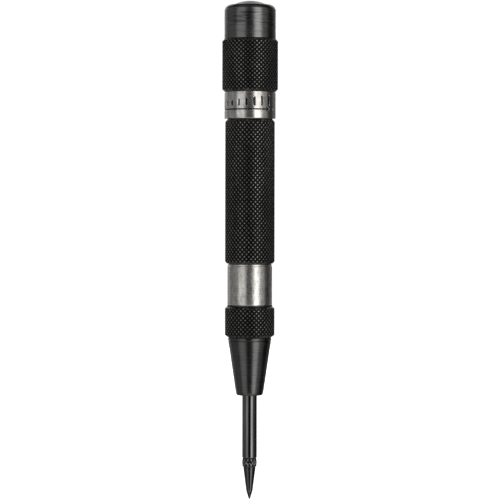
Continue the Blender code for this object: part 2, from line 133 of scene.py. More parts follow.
class Turning:
    """A stack of rings about Z, which goes round a section of the piece or along its outline.

    Each point carries two values for the finishes. The first is 0 on sound finish and 1 on bare or polished
    metal; on the barrel band's lower bevel, the knurl chamfers and the point's ridges it also paints a
    highlight.
    The second is 1 in engraved strokes and where the crown is scratched most, and it paints shade in knurl
    grooves, thread roots and the point's pits and neck.
    """

    def __init__(self, angles):
        self.angles = np.asarray(angles)
        self.radii, self.heights, self.wear, self.marks_and_shade = [], [], [], []

    def ring(self, radius, height, wear=0.0, marks_and_shade=0.0):
        """Adds a ring. All but its height may be one number or an array with a value for each angle."""
        blank = np.zeros(len(self.angles))
        self.radii.append(blank + radius)
        self.heights.append(height)
        self.wear.append(blank + wear)
        self.marks_and_shade.append(blank + marks_and_shade)

    def outline(self, corners):
        """Adds corners of (radius, height, rounding, wear and highlight), each rounded within its own two
        edges.
        """
        for i, (r, z, rounding, wear) in enumerate(corners):
            if rounding == 0 or i in (0, len(corners) - 1):
                self.ring(r, z, wear)
                continue
            here = Vector((r, z))
            before = Vector(corners[i - 1][:2]) - here
            after = Vector(corners[i + 1][:2]) - here
            start = here + before.normalized() * min(rounding, before.length * ROUNDING_SHARE)
            end = here + after.normalized() * min(rounding, after.length * ROUNDING_SHARE)
            for k in range(ROUNDING_STEPS + 1):
                t = k / ROUNDING_STEPS
                point = start * (1 - t) ** 2 + here * 2 * t * (1 - t) + end * t**2
                self.ring(point.x, point.y, wear * (1 - abs(2 * t - 1)))

    def quarter_arc(self, centre_r, centre_z, radius, steps):
        """Adds the upper outer quarter of a circle about a point of the outline's plane."""
        for angle in np.linspace(0, math.pi / 2, steps + 1):
            self.ring(centre_r + radius * math.cos(angle), centre_z + radius * math.sin(angle))

    def build(self, name, finish, body, node, hollow=True):
        """Makes the piece. The last ring joins the first or, if it isn't hollow, a disc closes each end."""
        angles = self.angles
        radii = np.array(self.radii)
        rows, around = radii.shape
        x = radii * np.cos(angles)
        y = radii * np.sin(angles)
        z = np.repeat(np.array(self.heights)[:, None], around, axis=1)
        points = np.stack([x, y, z], axis=-1).reshape(-1, 3)
        index = np.arange(rows * around).reshape(rows, around)
        upper = np.roll(index, -1, axis=0) if hollow else index[1:]
        lower = index if hollow else index[:-1]
        quads = np.stack(
            [lower, np.roll(lower, -1, axis=1), np.roll(upper, -1, axis=1), upper], axis=-1
        ).reshape(-1, 4)
        faces = quads.tolist()
        if not hollow:
            faces.append(index[0][::-1].tolist())
            faces.append(index[-1].tolist())
        mesh = bpy.data.meshes.new(name)
        mesh.from_pydata(points.tolist(), [], faces)
        for label, values in (("wear", self.wear), ("marks_and_shade", self.marks_and_shade)):
            layer = mesh.attributes.new(label, "FLOAT", "POINT")
            layer.data.foreach_set("value", np.array(values, np.float32).ravel())
        mesh.materials.append(finish)
        mesh.shade_smooth()
        mesh.set_sharp_from_angle(angle=math.radians(SHARP_DEG))
        place(name, mesh, body, node)


def place(name, mesh, body, node):
    """Links a finished mesh, lets it ride on its body and hides the CAD node that it stands for."""
    piece = bpy.data.objects.new(name, mesh)
    bpy.context.scene.collection.objects.link(piece)
    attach(piece, body)
    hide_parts(node)
    return piece


def even_angles(count):
    return np.arange(count) * TAU / count


def saw(turns):
    """0 on whole numbers and 1 half-way between them."""
    return 1 - np.abs(2 * (turns % 1.0) - 1)


KNURL_SAMPLES = 8
KNURL_CREST = 0.5
KNURL_WORN_FROM = 0.5
KNURL_WORN_OVER = 0.25
# Knurl chamfers are painted paler: rubbed wear, and partly a painted highlight.
CHAMFER_WEAR_AND_HIGHLIGHT = 0.6
CHAMFER_BLEND = 0.3


def knurl_rings(turning, low, high, radius, low_r, high_r, low_run, high_run, starts, pitch, depth):
    """A diamond knurl: two sets of crossing helical grooves, with a chamfer turned at each end.

    The chamfers start at low_r and high_r and reach the full radius over their runs. The mesh has
    KNURL_SAMPLES rings to a pitch and as many points to a start, so the grooves run through its corners.
    rise is 0 in a groove and 1 in the middle of a diamond, which is flat from KNURL_CREST up.
    """
    steps = round((high - low) / (pitch / KNURL_SAMPLES))
    around = turning.angles / TAU * starts
    for height in np.linspace(low, high, steps + 1):
        along = (height - low) / pitch
        rise = np.minimum(saw(around + along), saw(around - along))
        crest = np.minimum(rise / KNURL_CREST, 1.0)
        low_chamfer = low_r + (radius - low_r) * (height - low) / low_run
        high_chamfer = high_r + (radius - high_r) * (high - height) / high_run
        envelope = min(radius, low_chamfer, high_chamfer)
        knurled = radius - depth * (1 - crest)
        radii = np.minimum(knurled, envelope)
        turned = np.clip((knurled - envelope) / (CHAMFER_BLEND * depth), 0, 1)
        worn = np.clip((rise - KNURL_WORN_FROM) / KNURL_WORN_OVER, 0, 1)
        # The last value is 1 - crest, which is 1 in the grooves, where the knurled finish paints shade.
        turning.ring(radii, height, np.maximum(worn * (1 - turned), CHAMFER_WEAR_AND_HIGHLIGHT * turned), 1 - crest)


# ---- Finishes ---------------------------------------------------------------------------------------


class Finish:
    """A node material about one Principled shader, with short helpers for the nodes that feed it."""

    def __init__(self, name):
        self.material = bpy.data.materials.new(name)
        self.material.use_nodes = True
        self.tree = self.material.node_tree
        self.shader = self.tree.nodes["Principled BSDF"]
        self.coordinates = self.tree.nodes.new("ShaderNodeTexCoord")

    def feed(self, socket, value):
        """Links a node's output, or sets a number or a colour of red, green and blue."""
        if isinstance(value, bpy.types.NodeSocket):
            self.tree.links.new(value, socket)
        elif isinstance(value, tuple):
            socket.default_value = (*value, 1.0)
        else:
            socket.default_value = value

    def noise(self, cells_per_metre, detail):
        """Noise in 0 to 1, with its own number of cells per metre along X, Y and Z."""
        mapping = self.tree.nodes.new("ShaderNodeMapping")
        mapping.inputs["Scale"].default_value = cells_per_metre
        self.feed(mapping.inputs["Vector"], self.coordinates.outputs["Object"])
        texture = self.tree.nodes.new("ShaderNodeTexNoise")
        texture.inputs["Scale"].default_value = 1.0
        texture.inputs["Detail"].default_value = detail
        self.feed(texture.inputs["Vector"], mapping.outputs["Vector"])
        return texture.outputs["Fac"]

    def attribute(self, name):
        node = self.tree.nodes.new("ShaderNodeAttribute")
        node.attribute_name = name
        return node.outputs["Fac"]

    def remap(self, value, low, high, to_low, to_high):
        """Maps low..high to to_low..to_high, and keeps what lies outside at the nearer end."""
        node = self.tree.nodes.new("ShaderNodeMapRange")
        self.feed(node.inputs["Value"], value)
        for label, number in zip(("From Min", "From Max", "To Min", "To Max"), (low, high, to_low, to_high)):
            node.inputs[label].default_value = number
        return node.outputs["Result"]

    def math(self, operation, first, second):
        node = self.tree.nodes.new("ShaderNodeMath")
        node.operation = operation
        self.feed(node.inputs[0], first)
        self.feed(node.inputs[1], second)
        return node.outputs[0]

    def mix(self, factor, first, second):
        node = self.tree.nodes.new("ShaderNodeMix")
        node.data_type = "RGBA"
        self.feed(node.inputs["Factor"], factor)
        self.feed(node.inputs["A"], first)
        self.feed(node.inputs["B"], second)
        return node.outputs["Result"]

    def bump(self, height, distance, strength, under=None):
        node = self.tree.nodes.new("ShaderNodeBump")
        node.inputs["Strength"].default_value = strength
        node.inputs["Distance"].default_value = distance
        self.feed(node.inputs["Height"], height)
        if under is not None:
            self.feed(node.inputs["Normal"], under)
        return node.outputs["Normal"]

    def done(self, colour, roughness, normal=None, metallic=1.0, anisotropic=0.0):
        self.feed(self.shader.inputs["Base Color"], colour)
        self.feed(self.shader.inputs["Roughness"], roughness)
        self.shader.inputs["Metallic"].default_value = metallic
        self.shader.inputs["Anisotropic"].default_value = anisotropic
        if normal is not None:
            self.feed(self.shader.inputs["Normal"], normal)
        return self.material


RUBBED_STEEL = (0.42, 0.41, 0.39)
BRIGHT_STEEL = (0.80, 0.79, 0.77)


def turned_black(name, dark, light, scratch):
    """Black oxide on plain turned steel: tool lines round the axis, cloudy colour, paler rubbed edges.

    dark and light are the greys of the clouds. scratch is the strength of the scratches round the axis,
    which fade where the marks value is 0.
    """
    finish = Finish(name)
    lines = finish.noise((30, 30, 2600), 4.0)
    fine = finish.noise((120, 120, 9000), 2.0)
    cloud = finish.noise((260, 260, 170), 4.0)
    scratches = finish.noise((240, 240, 2900), 3.0)
    clouded = finish.mix(finish.remap(cloud, 0.3, 0.7, 0, 1), (dark,) * 3, (light, light, light * 0.97))
    lined = finish.mix(finish.remap(lines, 0.35, 0.7, 0, 0.5), clouded, (light * 1.4,) * 3)
    handled = finish.remap(finish.attribute("marks_and_shade"), 0, 1, 0.3, 1.0)
    cut = finish.math("MULTIPLY", finish.remap(scratches, 0.5, 0.62, 0, scratch), handled)
    scored = finish.mix(cut, lined, (0.02, 0.02, 0.02))
    rubbed = finish.math("MULTIPLY", finish.attribute("wear"), finish.remap(cloud, 0.3, 0.65, 0.35, 1.0))
    colour = finish.mix(rubbed, scored, RUBBED_STEEL)
    roughness = finish.remap(finish.math("ADD", cloud, fine), 0.6, 1.4, 0.18, 0.32)
    normal = finish.bump(lines, 0.00002, 0.5)
    normal = finish.bump(fine, 0.000004, 0.6, normal)
    return finish.done(colour, roughness, normal, anisotropic=0.4)


def knurled_black():
    """Black oxide on knurled steel: painted shade makes the grooves nearly black, and the tips are rubbed
    paler in patches.
    """
    finish = Finish("black_oxide_knurled")
    cloud = finish.noise((170, 170, 60), 3.0)
    speckle = finish.noise((1100, 1100, 1100), 3.0)
    # Painted shade: the grooves and the slopes into them are mixed from the oxide's grey to nearly black.
    groove_shade = finish.remap(finish.attribute("marks_and_shade"), 0, 0.5, 0, 1)
    base = finish.mix(groove_shade, (0.09, 0.09, 0.088), (0.0125, 0.0125, 0.0122))
    patch = finish.remap(cloud, 0.42, 0.6, 0.2, 1.0)
    grain = finish.remap(speckle, 0.35, 0.6, 0.2, 1.0)
    # Paler where worn: rubbed tips, and on the chamfers partly a painted highlight.
    worn = finish.math("MULTIPLY", finish.math("MULTIPLY", finish.attribute("wear"), patch), grain)
    colour = finish.mix(worn, base, (0.39, 0.382, 0.365))
    roughness = finish.remap(speckle, 0.3, 0.7, 0.36, 0.5)
    normal = finish.bump(speckle, 0.00002, 0.5)
    return finish.done(colour, roughness, normal)


def bright_band(name, stained, rough):
    """Bare turned steel: brushed round the axis, with warm stains, grime and dark engraved strokes.

    stained is the strength of the stains, and rough is the lowest roughness.
    """
    finish = Finish(name)
    lines = finish.noise((25, 25, 5200), 4.0)
    stain = finish.noise((420, 420, 150), 5.0)
    streak = finish.noise((900, 900, 60), 3.0)
    grime = finish.noise((1250, 1250, 620), 4.0)
    warm = finish.mix(finish.remap(stain, 0.42, 0.72, 0, stained), (0.66, 0.65, 0.63), (0.40, 0.37, 0.32))
    streaked = finish.mix(finish.remap(streak, 0.5, 0.75, 0, 0.5), warm, (0.30, 0.285, 0.26))
    grimy = finish.mix(finish.remap(grime, 0.42, 0.72, 0, stained * 0.9), streaked, (0.2, 0.185, 0.15))
    lined = finish.mix(finish.remap(lines, 0.3, 0.7, 0, 0.35), grimy, BRIGHT_STEEL)
    # Polished where worn; on the barrel band's lower bevel this is partly a painted highlight.
    polished = finish.mix(finish.attribute("wear"), lined, BRIGHT_STEEL)
    colour = finish.mix(finish.attribute("marks_and_shade"), polished, (0.035, 0.033, 0.03))
    roughness = finish.remap(stain, 0.3, 0.7, rough, rough + 0.1)
    normal = finish.bump(lines, 0.000005, 0.5)
    return finish.done(colour, roughness, normal, anisotropic=0.35)


def glossy_black():
    """Black oxide on ground steel: glossy, smeared along the rod, with faint marks round the axis."""
    finish = Finish("black_oxide_ground")
    lines = finish.noise((40, 40, 3000), 3.0)
    smear = finish.noise((500, 500, 90), 3.0)
    base = finish.mix(finish.remap(smear, 0.35, 0.7, 0, 1), (0.125, 0.125, 0.125), (0.205, 0.202, 0.196))
    colour = finish.mix(finish.attribute("wear"), base, (0.40, 0.39, 0.37))
    roughness = finish.remap(lines, 0.3, 0.7, 0.04, 0.09)
    normal = finish.bump(lines, 0.000006, 0.4)
    return finish.done(colour, roughness, normal)


def point_black():
    """The point: dark ground steel, brighter at the collar's ridges and at the tip as rubbed wear and, on the
    ridges, partly as a painted highlight, and nearly black in the collar's pits and neck as painted shade.
    """
    finish = Finish("point_ground_steel")
    lines = finish.noise((60, 60, 4200), 4.0)
    smear = finish.noise((900, 900, 260), 3.0)
    base = finish.mix(finish.remap(lines, 0.35, 0.7, 0, 1), (0.06, 0.06, 0.06), (0.105, 0.104, 0.1))
    # Rubbed paler on the ridges and the tip; on the ridges this is partly a painted highlight.
    rubbed = finish.math("MULTIPLY", finish.attribute("wear"), finish.remap(smear, 0.3, 0.6, 0.4, 1.0))
    worn = finish.mix(rubbed, base, (0.45, 0.44, 0.42))
    # Painted shade: the collar's pits and neck are mixed to near black.
    colour = finish.mix(finish.attribute("marks_and_shade"), worn, (0.012, 0.012, 0.012))
    roughness = finish.remap(smear, 0.3, 0.7, 0.1, 0.2)
    normal = finish.bump(lines, 0.000006, 0.5)
    return finish.done(colour, roughness, normal)


def button_grey():
    """The domed end button: smooth grey steel, slightly cloudy."""
    finish = Finish("end_button_steel")
    cloud = finish.noise((500, 500, 500), 4.0)
    rings = finish.noise((2600, 2600, 200), 2.0)
    base = finish.mix(finish.remap(cloud, 0.3, 0.7, 0, 1), (0.30, 0.30, 0.295), (0.42, 0.415, 0.405))
    colour = finish.mix(finish.attribute("wear"), base, (0.5, 0.49, 0.47))
    roughness = finish.remap(cloud, 0.3, 0.7, 0.28, 0.42)
    normal = finish.bump(rings, 0.000006, 0.5)
    return finish.done(colour, roughness, normal)


def inner_steel(name, dark, light, rough_low, rough_high):
    """An oiled inner piece: ground steel with tool lines and cloudy colour."""
    finish = Finish(name)
    lines = finish.noise((60, 60, 3500), 3.0)
    cloud = finish.noise((400, 400, 400), 3.0)
    colour = finish.mix(finish.remap(cloud, 0.3, 0.7, 0, 1), dark, light)
    roughness = finish.remap(lines, 0.3, 0.7, rough_low, rough_high)
    normal = finish.bump(lines, 0.00001, 0.5)
    return finish.done(colour, roughness, normal)


# ---- The nose ---------------------------------------------------------------------------------------

NOSE_STARTS = 34
NOSE_PITCH = 1.16 * MM


def make_nose_taper(finish):
    """The taper of the nose, up to the foot of its collar, with a turned groove near its top."""
    end_r = 3.43 * MM
    top_r = 5.64 * MM
    foot_r = top_r - 0.2 * MM
    hole_r = 2.05 * MM
    hole_edge = 0.3 * MM
    slope = (top_r - end_r) / (NOSE_KNURL_LOW - NOSE_LOW)
    groove_depth = 0.16 * MM
    groove_half = 0.09 * MM
    chamber_low = NOSE_LOW + 4.23 * MM
    split = NOSE_KNURL_LOW - 0.02 * MM

    def cone_r(height):
        return end_r + slope * (height - NOSE_LOW)

    taper = Turning(even_angles(160))
    taper.outline([
        (hole_r, NOSE_LOW + 0.35 * MM, 0, 0),
        (hole_r + hole_edge, NOSE_LOW, 0.1 * MM, 0.1),
        (end_r - 0.05 * MM, NOSE_LOW, 0.42 * MM, 0.2),
        (cone_r(NOSE_LOW + 1.2 * MM), NOSE_LOW + 1.2 * MM, 0, 0),
        (cone_r(NOSE_GROOVE - groove_half), NOSE_GROOVE - groove_half, 0.03 * MM, 0.4),
        (cone_r(NOSE_GROOVE) - groove_depth, NOSE_GROOVE, 0.03 * MM, 0),
        (cone_r(NOSE_GROOVE + groove_half), NOSE_GROOVE + groove_half, 0.03 * MM, 0.6),
        (top_r, NOSE_KNURL_LOW - 0.2 * MM, 0.05 * MM, 0.5),
        (foot_r, NOSE_KNURL_LOW - 0.1 * MM, 0.03 * MM, 0),
        (foot_r, split, 0, 0),
        (SPRING_CHAMBER_R, split, 0, 0),
        (SPRING_CHAMBER_R, chamber_low, 0.2 * MM, 0),
        (hole_r, chamber_low, 0.1 * MM, 0),
    ])
    taper.build("nose_taper", finish, "handle", "nose_cone")


def make_nose_collar(finish):
    """The knurled collar of the nose and its plain rim, with the socket that the barrel screws in."""
    socket_low = NOSE_LOW + 15.23 * MM
    socket_r = 4.75 * MM
    rim_r = 5.83 * MM
    rim_top = NOSE_TOP + 0.02 * MM
    collar = Turning(even_angles(NOSE_STARTS * KNURL_SAMPLES))
    collar.ring(SPRING_CHAMBER_R, NOSE_KNURL_LOW)
    knurl_rings(
        collar, NOSE_KNURL_LOW, NOSE_KNURL_TOP, NOSE_R, low_r=5.5 * MM, high_r=rim_r - 0.05 * MM,
        low_run=0.62 * MM, high_run=0.5 * MM, starts=NOSE_STARTS, pitch=NOSE_PITCH, depth=0.3 * MM,
    )
    collar.outline([
        (rim_r - 0.12 * MM, NOSE_KNURL_TOP + 0.03 * MM, 0, 0),
        (rim_r, NOSE_KNURL_TOP + 0.14 * MM, 0.04 * MM, 0.1),
        (rim_r, rim_top, 0.1 * MM, 0.1),
        (socket_r, rim_top, 0.1 * MM, 0),
        (socket_r, socket_low, 0, 0),
        (SPRING_CHAMBER_R, socket_low, 0, 0),
    ])
    collar.build("nose_collar", finish, "handle", "nose_cone")


# ---- The barrel -------------------------------------------------------------------------------------

GRIP_STARTS = 35
GRIP_PITCH = 1.22 * MM
NECK_THREAD_PITCH = 1.0 * MM


def make_barrel_band(finish):
    """The bright band, with the threaded spigot under it that holds the nose."""
    spigot_r = 4.6 * MM
    edge = 0.14 * MM
    relief_low = BAND_TOP - 0.5 * MM
    relief_high = relief_low + 0.12 * MM
    relief_r = BAND_R - 0.09 * MM
    guide_low = BARREL_LOW + 14.7 * MM
    band = Turning(even_angles(160))
    band.outline([
        (SPRING_CHAMBER_R, BARREL_LOW, 0, 0),
        (spigot_r, BARREL_LOW, 0.3 * MM, 0),
        (spigot_r, BAND_LOW, 0, 0),
        # The band's lower bevel is painted polished: rubbed wear, and partly a painted highlight along the
        # edge.
        (BAND_R - 0.5 * edge, BAND_LOW, 0, 1.0),
        (BAND_R, BAND_LOW + 1.6 * edge, 0.05 * MM, 1.0),
        (BAND_R, relief_low, 0.05 * MM, 0.3),
        (relief_r, relief_high, 0.05 * MM, 0.2),
        (relief_r, BAND_TOP, 0.05 * MM, 0.3),
        (GUIDE_R, BAND_TOP, 0, 0),
        (GUIDE_R, guide_low, 0, 0),
        (SPRING_CHAMBER_R, guide_low, 0, 0),
    ])
    band.build("barrel_band", finish, "handle", "barrel")


def make_barrel_grip(finish):
    """The long knurled grip, with its turned shoulders and the hammer's chamber inside."""
    guide_top = BARREL_LOW + 19.7 * MM
    taper_low = BARREL_LOW + 33.2 * MM
    taper_top = BARREL_LOW + 36.2 * MM
    foot_r = 5.5 * MM
    foot_low = BAND_TOP + 0.02 * MM
    shoulder_r = 5.86 * MM
    shoulder = GRIP_TOP + 0.02 * MM
    grip = Turning(even_angles(GRIP_STARTS * KNURL_SAMPLES))
    grip.ring(GUIDE_R, foot_low)
    grip.ring(foot_r, foot_low)
    grip.ring(foot_r, GRIP_LOW)
    knurl_rings(
        grip, GRIP_LOW, GRIP_TOP, BARREL_R, low_r=BARREL_R - 0.5 * MM, high_r=shoulder_r,
        low_run=0.5 * MM, high_run=0.65 * MM, starts=GRIP_STARTS, pitch=GRIP_PITCH, depth=0.3 * MM,
    )
    grip.outline([
        (shoulder_r - 0.2 * MM, shoulder, 0, 0),
        (BORE_R, shoulder, 0, 0),
        (BORE_R, taper_top, 0.5 * MM, 0),
        (LOWER_BORE_R, taper_low, 0.5 * MM, 0),
        (LOWER_BORE_R, guide_top, 0, 0),
        (GUIDE_R, guide_top, 0, 0),
    ])
    grip.build("barrel_grip", finish, "handle", "barrel")


def make_barrel_neck(finish):
    """The threaded neck that the cap screws on. It shows when the cap is backed off."""
    undercut = 0.6 * MM
    low = GRIP_TOP + 0.04 * MM
    thread_low = low + undercut
    root_r = NECK_R - 0.45 * MM
    bore_edge = 0.3 * MM
    samples = 14
    neck = Turning(even_angles(144))
    neck.ring(BORE_R, low)
    neck.ring(root_r, low)
    steps = round((BARREL_TOP - thread_low) / NECK_THREAD_PITCH * samples)
    for height in np.linspace(thread_low, BARREL_TOP - 0.02 * MM, steps):
        turns = height / NECK_THREAD_PITCH - neck.angles / TAU
        crest = np.clip(1.25 * saw(turns) - 0.1, 0, 1)
        lead_in = (height - thread_low) / NECK_THREAD_PITCH
        lead_out = (BARREL_TOP - height) / (0.6 * NECK_THREAD_PITCH)
        lead = min(1.0, lead_in, lead_out)
        radii = root_r + (NECK_R - root_r) * crest * lead
        worn = 0.5 * np.clip((crest - 0.8) / 0.2, 0, 1) * lead
        # The last value is 1 - crest, which is 1 in the thread's roots, where the knurled finish paints
        # shade.
        neck.ring(radii, height, worn, 1 - crest)
    neck.ring(root_r, BARREL_TOP)
    neck.ring(BORE_R + bore_edge, BARREL_TOP)
    neck.ring(BORE_R, BARREL_TOP - bore_edge)
    neck.build("barrel_neck", finish, "handle", "barrel")


# ---- The cap ----------------------------------------------------------------------------------------

CAP_STARTS = 38
CAP_PITCH = 1.1 * MM
ARROW_HEIGHT = CAP_LOW + 2.38 * MM
MARK_DEPTH = 0.14 * MM
MARK_STEP = 0.06 * MM
MARKED_STEP_DEG = 0.4
PLAIN_STEP_DEG = 3.0

# Bearings on the cap's band are in degrees from the front, positive to the right.
FRONT = -90.0
MARKS_FROM = -100.0
MARKS_TO = 76.0
ARROW_TAIL = -95.0
ARROW_HEAD = 47.0
DOT = 61.0
FIRST_BAR = -62.0
BAR_SPACING = 18.0
BARS = 7


def stroke(x, z, start, end, half_width):
    """1 inside a straight stroke between two points on the unrolled band, falling to 0 at its sides."""
    run = np.array(end) - np.array(start)
    along = ((x - start[0]) * run[0] + (z - start[1]) * run[1]) / (run @ run)
    along = np.clip(along, 0, 1)
    away = np.hypot(x - start[0] - along * run[0], z - start[1] - along * run[1])
    side = 0.45 * half_width
    return np.clip((half_width - away) / side + 0.5, 0, 1)


def band_strokes():
    """The engraved marks: an arrow round the band that points to more force, and a rising scale of bars."""
    degree = CAP_BAND_R * math.radians(1.0)
    line = 0.13 * MM
    barb = 0.85 * MM
    barb_rise = 0.55 * barb
    tail = (ARROW_TAIL * degree, ARROW_HEIGHT)
    head = (ARROW_HEAD * degree, ARROW_HEIGHT)
    strokes = [(tail, head, line)]
    for rise in (-barb_rise, barb_rise):
        strokes.append((head, (head[0] - barb, ARROW_HEIGHT + rise), line))
    dot_r = 0.22 * MM
    dot_half = 0.05 * MM
    dot = DOT * degree
    strokes.append(((dot, ARROW_HEIGHT - dot_half), (dot, ARROW_HEIGHT + dot_half), dot_r))
    bar_half = 0.25 * MM
    shortest = 0.6 * MM
    growth = 1.6 * MM / (BARS - 1)
    foot = ARROW_HEIGHT + 1.15 * MM
    for i in range(BARS):
        middle = (FIRST_BAR + BAR_SPACING * i) * degree
        strokes.append(((middle, foot), (middle, foot + shortest + growth * i), bar_half))
    return strokes


def make_cap_band(finish):
    """The bright skirt band of the cap, with the engraved arrow and the scale of bars."""
    marked = np.arange(MARKS_FROM, MARKS_TO, MARKED_STEP_DEG)
    plain = np.arange(MARKS_TO, MARKS_FROM + 360.0, PLAIN_STEP_DEG)
    degrees = np.concatenate([marked, plain])
    band = Turning(np.radians(degrees + FRONT))
    across = CAP_BAND_R * np.radians(degrees)
    bore_edge = 0.3 * MM
    edge = 0.1 * MM
    strokes = band_strokes()
    marks_low = ARROW_HEIGHT - 0.8 * MM
    marks_high = CAP_BAND_TOP - 0.35 * MM
    band.outline([
        (CAP_BORE_R, CAP_LOW + bore_edge, 0, 0),
        (CAP_BORE_R + bore_edge, CAP_LOW, 0.1 * MM, 0),
        (CAP_BAND_R - edge, CAP_LOW, 0.04 * MM, 0.6),
        (CAP_BAND_R, CAP_LOW + 1.4 * edge, 0.05 * MM, 1.0),
        (CAP_BAND_R, marks_low, 0, 0),
    ])
    for height in np.arange(marks_low, marks_high, MARK_STEP):
        marks_and_shade = np.zeros(len(degrees))
        for start, end, half_width in strokes:
            marks_and_shade = np.maximum(marks_and_shade, stroke(across, height, start, end, half_width))
        band.ring(CAP_BAND_R - MARK_DEPTH * marks_and_shade, height, 0.0, marks_and_shade)
    band.outline([
        (CAP_BAND_R, marks_high, 0, 0),
        (CAP_BAND_R, CAP_BAND_TOP - 1.5 * edge, 0.04 * MM, 0.3),
        (CAP_BAND_R - edge, CAP_BAND_TOP, 0.04 * MM, 0.2),
        (CAP_BORE_R, CAP_BAND_TOP, 0, 0),
    ])
    band.build("cap_band", finish, "cap_unit", "adjusting_cap")


def make_cap_grip(finish):
    """The knurled stretch of the cap, closed inside by the roof and the stud that bears on the seat."""
    roof = CAP_LOW + 19.45 * MM
    stud_r = 3.0 * MM
    stud_low = CAP_LOW + 15.75 * MM
    low = CAP_BAND_TOP + 0.02 * MM
    top = CAP_KNURL_TOP + 0.01 * MM
    grip = Turning(even_angles(CAP_STARTS * KNURL_SAMPLES))
    grip.outline([
        (CENTRE_R, stud_low, 0, 0),
        (stud_r, stud_low, 0.3 * MM, 0),
        (stud_r, roof, 0, 0),
        (CAP_BORE_R, roof, 0, 0),
        (CAP_BORE_R, low, 0, 0),
        (CAP_BAND_R - 0.1 * MM, low, 0, 0),
    ])
    knurl_rings(
        grip, CAP_BAND_TOP + 0.05 * MM, CAP_KNURL_TOP, CAP_R,
        low_r=CAP_BAND_R - 0.02 * MM, high_r=CAP_CROWN_R,
        low_run=0.62 * MM, high_run=0.55 * MM, starts=CAP_STARTS, pitch=CAP_PITCH, depth=0.29 * MM,
    )
    grip.ring(CAP_CROWN_R - 0.15 * MM, top)
    grip.ring(CENTRE_R, top)
    grip.build("cap_grip", finish, "cap_unit", "adjusting_cap", hollow=False)


def make_cap_crown(finish):
    """The plain crown, scratched by use below its round edge and recessed at its end for the button."""
    recess_r = PLUG_R + 0.15 * MM
    recess_low = CAP_TOP - 4.45 * MM
    stem_hole_r = 2.6 * MM
    stem_low = CAP_TOP - 7.45 * MM
    low = CAP_KNURL_TOP + 0.03 * MM
    scratched_from = CAP_TOP - 6.5 * MM
    scratched_low = CAP_TOP - 5.0 * MM
    scratched_high = CAP_TOP - 2.2 * MM
    edge = 1.66 * MM
    crown = Turning(even_angles(192))
    crown.outline([
        (CENTRE_R, low, 0, 0),
        (CAP_CROWN_R - 0.12 * MM, low, 0, 0),
        (CAP_CROWN_R, CAP_KNURL_TOP + 0.1 * MM, 0.05 * MM, 0),
        (CAP_CROWN_R, scratched_from, 0, 0),
    ])
    crown.ring(CAP_CROWN_R, scratched_low, marks_and_shade=1.0)
    crown.ring(CAP_CROWN_R, scratched_high, marks_and_shade=1.0)
    crown.quarter_arc(CAP_CROWN_R - edge, CAP_TOP - edge, edge, 20)
    crown.outline([
        (recess_r, CAP_TOP - 0.02 * MM, 0, 0),
        (recess_r, recess_low, 0, 0),
        (stem_hole_r, recess_low, 0, 0),
        (stem_hole_r, stem_low, 0, 0),
        (CENTRE_R, stem_low, 0, 0),
    ])
    crown.build("cap_crown", finish, "cap_unit", "adjusting_cap", hollow=False)


def make_end_button(finish):
    """The domed button in the end of the cap."""
    rim = CAP_TOP - 0.17 * MM
    disc_low = PLUG_LOW + 3.0 * MM
    stem_r = 2.5 * MM
    rise = PLUG_TOP - rim
    dome_r = (PLUG_R**2 + rise**2) / (2 * rise)
    dome_foot_r = 0.985 * PLUG_R
    dome_top_r = 0.004 * MM
    button = Turning(even_angles(128))
    button.outline([
        (CENTRE_R, PLUG_LOW, 0, 0),
        (stem_r, PLUG_LOW, 0.2 * MM, 0),
        (stem_r, disc_low, 0, 0),
        (PLUG_R, disc_low, 0.1 * MM, 0),
        (PLUG_R, rim - 0.15 * MM, 0, 0),
    ])
    rings = 24
    for i in range(rings + 1):
        away = dome_foot_r * (1 - i / rings) + dome_top_r
        drop = dome_r - math.sqrt(dome_r**2 - away**2)
        button.ring(away, PLUG_TOP - drop, 0.4 if i == 0 else 0.0)
    button.build("cap_end_button", finish, "cap_unit", "cap_end_plug", hollow=False)


# ---- The plunger and the point ----------------------------------------------------------------------


def make_rod(finish):
    """The sliding rod, with the point's socket below and the trip pin's bore above."""
    low = ROD_LOW - 0.05 * MM
    socket_r = 1.35 * MM
    socket_top = ROD_LOW + 6.05 * MM
    head_low = ROD_LOW + 33.25 * MM
    pin_bore_r = 1.4 * MM
    pin_bore_low = ROD_TOP - 5.3 * MM
    slope = 0.4 * MM
    rod = Turning(even_angles(96))
    rod.outline([
        (ROD_CENTRE_R, socket_top + slope, 0, 0),
        (socket_r, socket_top, 0, 0),
        (socket_r, low, 0.05 * MM, 0),
        (ROD_R, low, 0.12 * MM, 0.9),
        (ROD_R, head_low, 0.1 * MM, 0),
        (ROD_HEAD_R, head_low + slope, 0.1 * MM, 0),
        (ROD_HEAD_R, ROD_TOP, 0.3 * MM, 0.4),
        (pin_bore_r, ROD_TOP, 0.05 * MM, 0),
        (pin_bore_r, pin_bore_low, 0, 0),
        (ROD_CENTRE_R, pin_bore_low - slope, 0, 0),
    ])
    rod.build("plunger_rod", finish, "plunger_unit", "plunger", hollow=False)


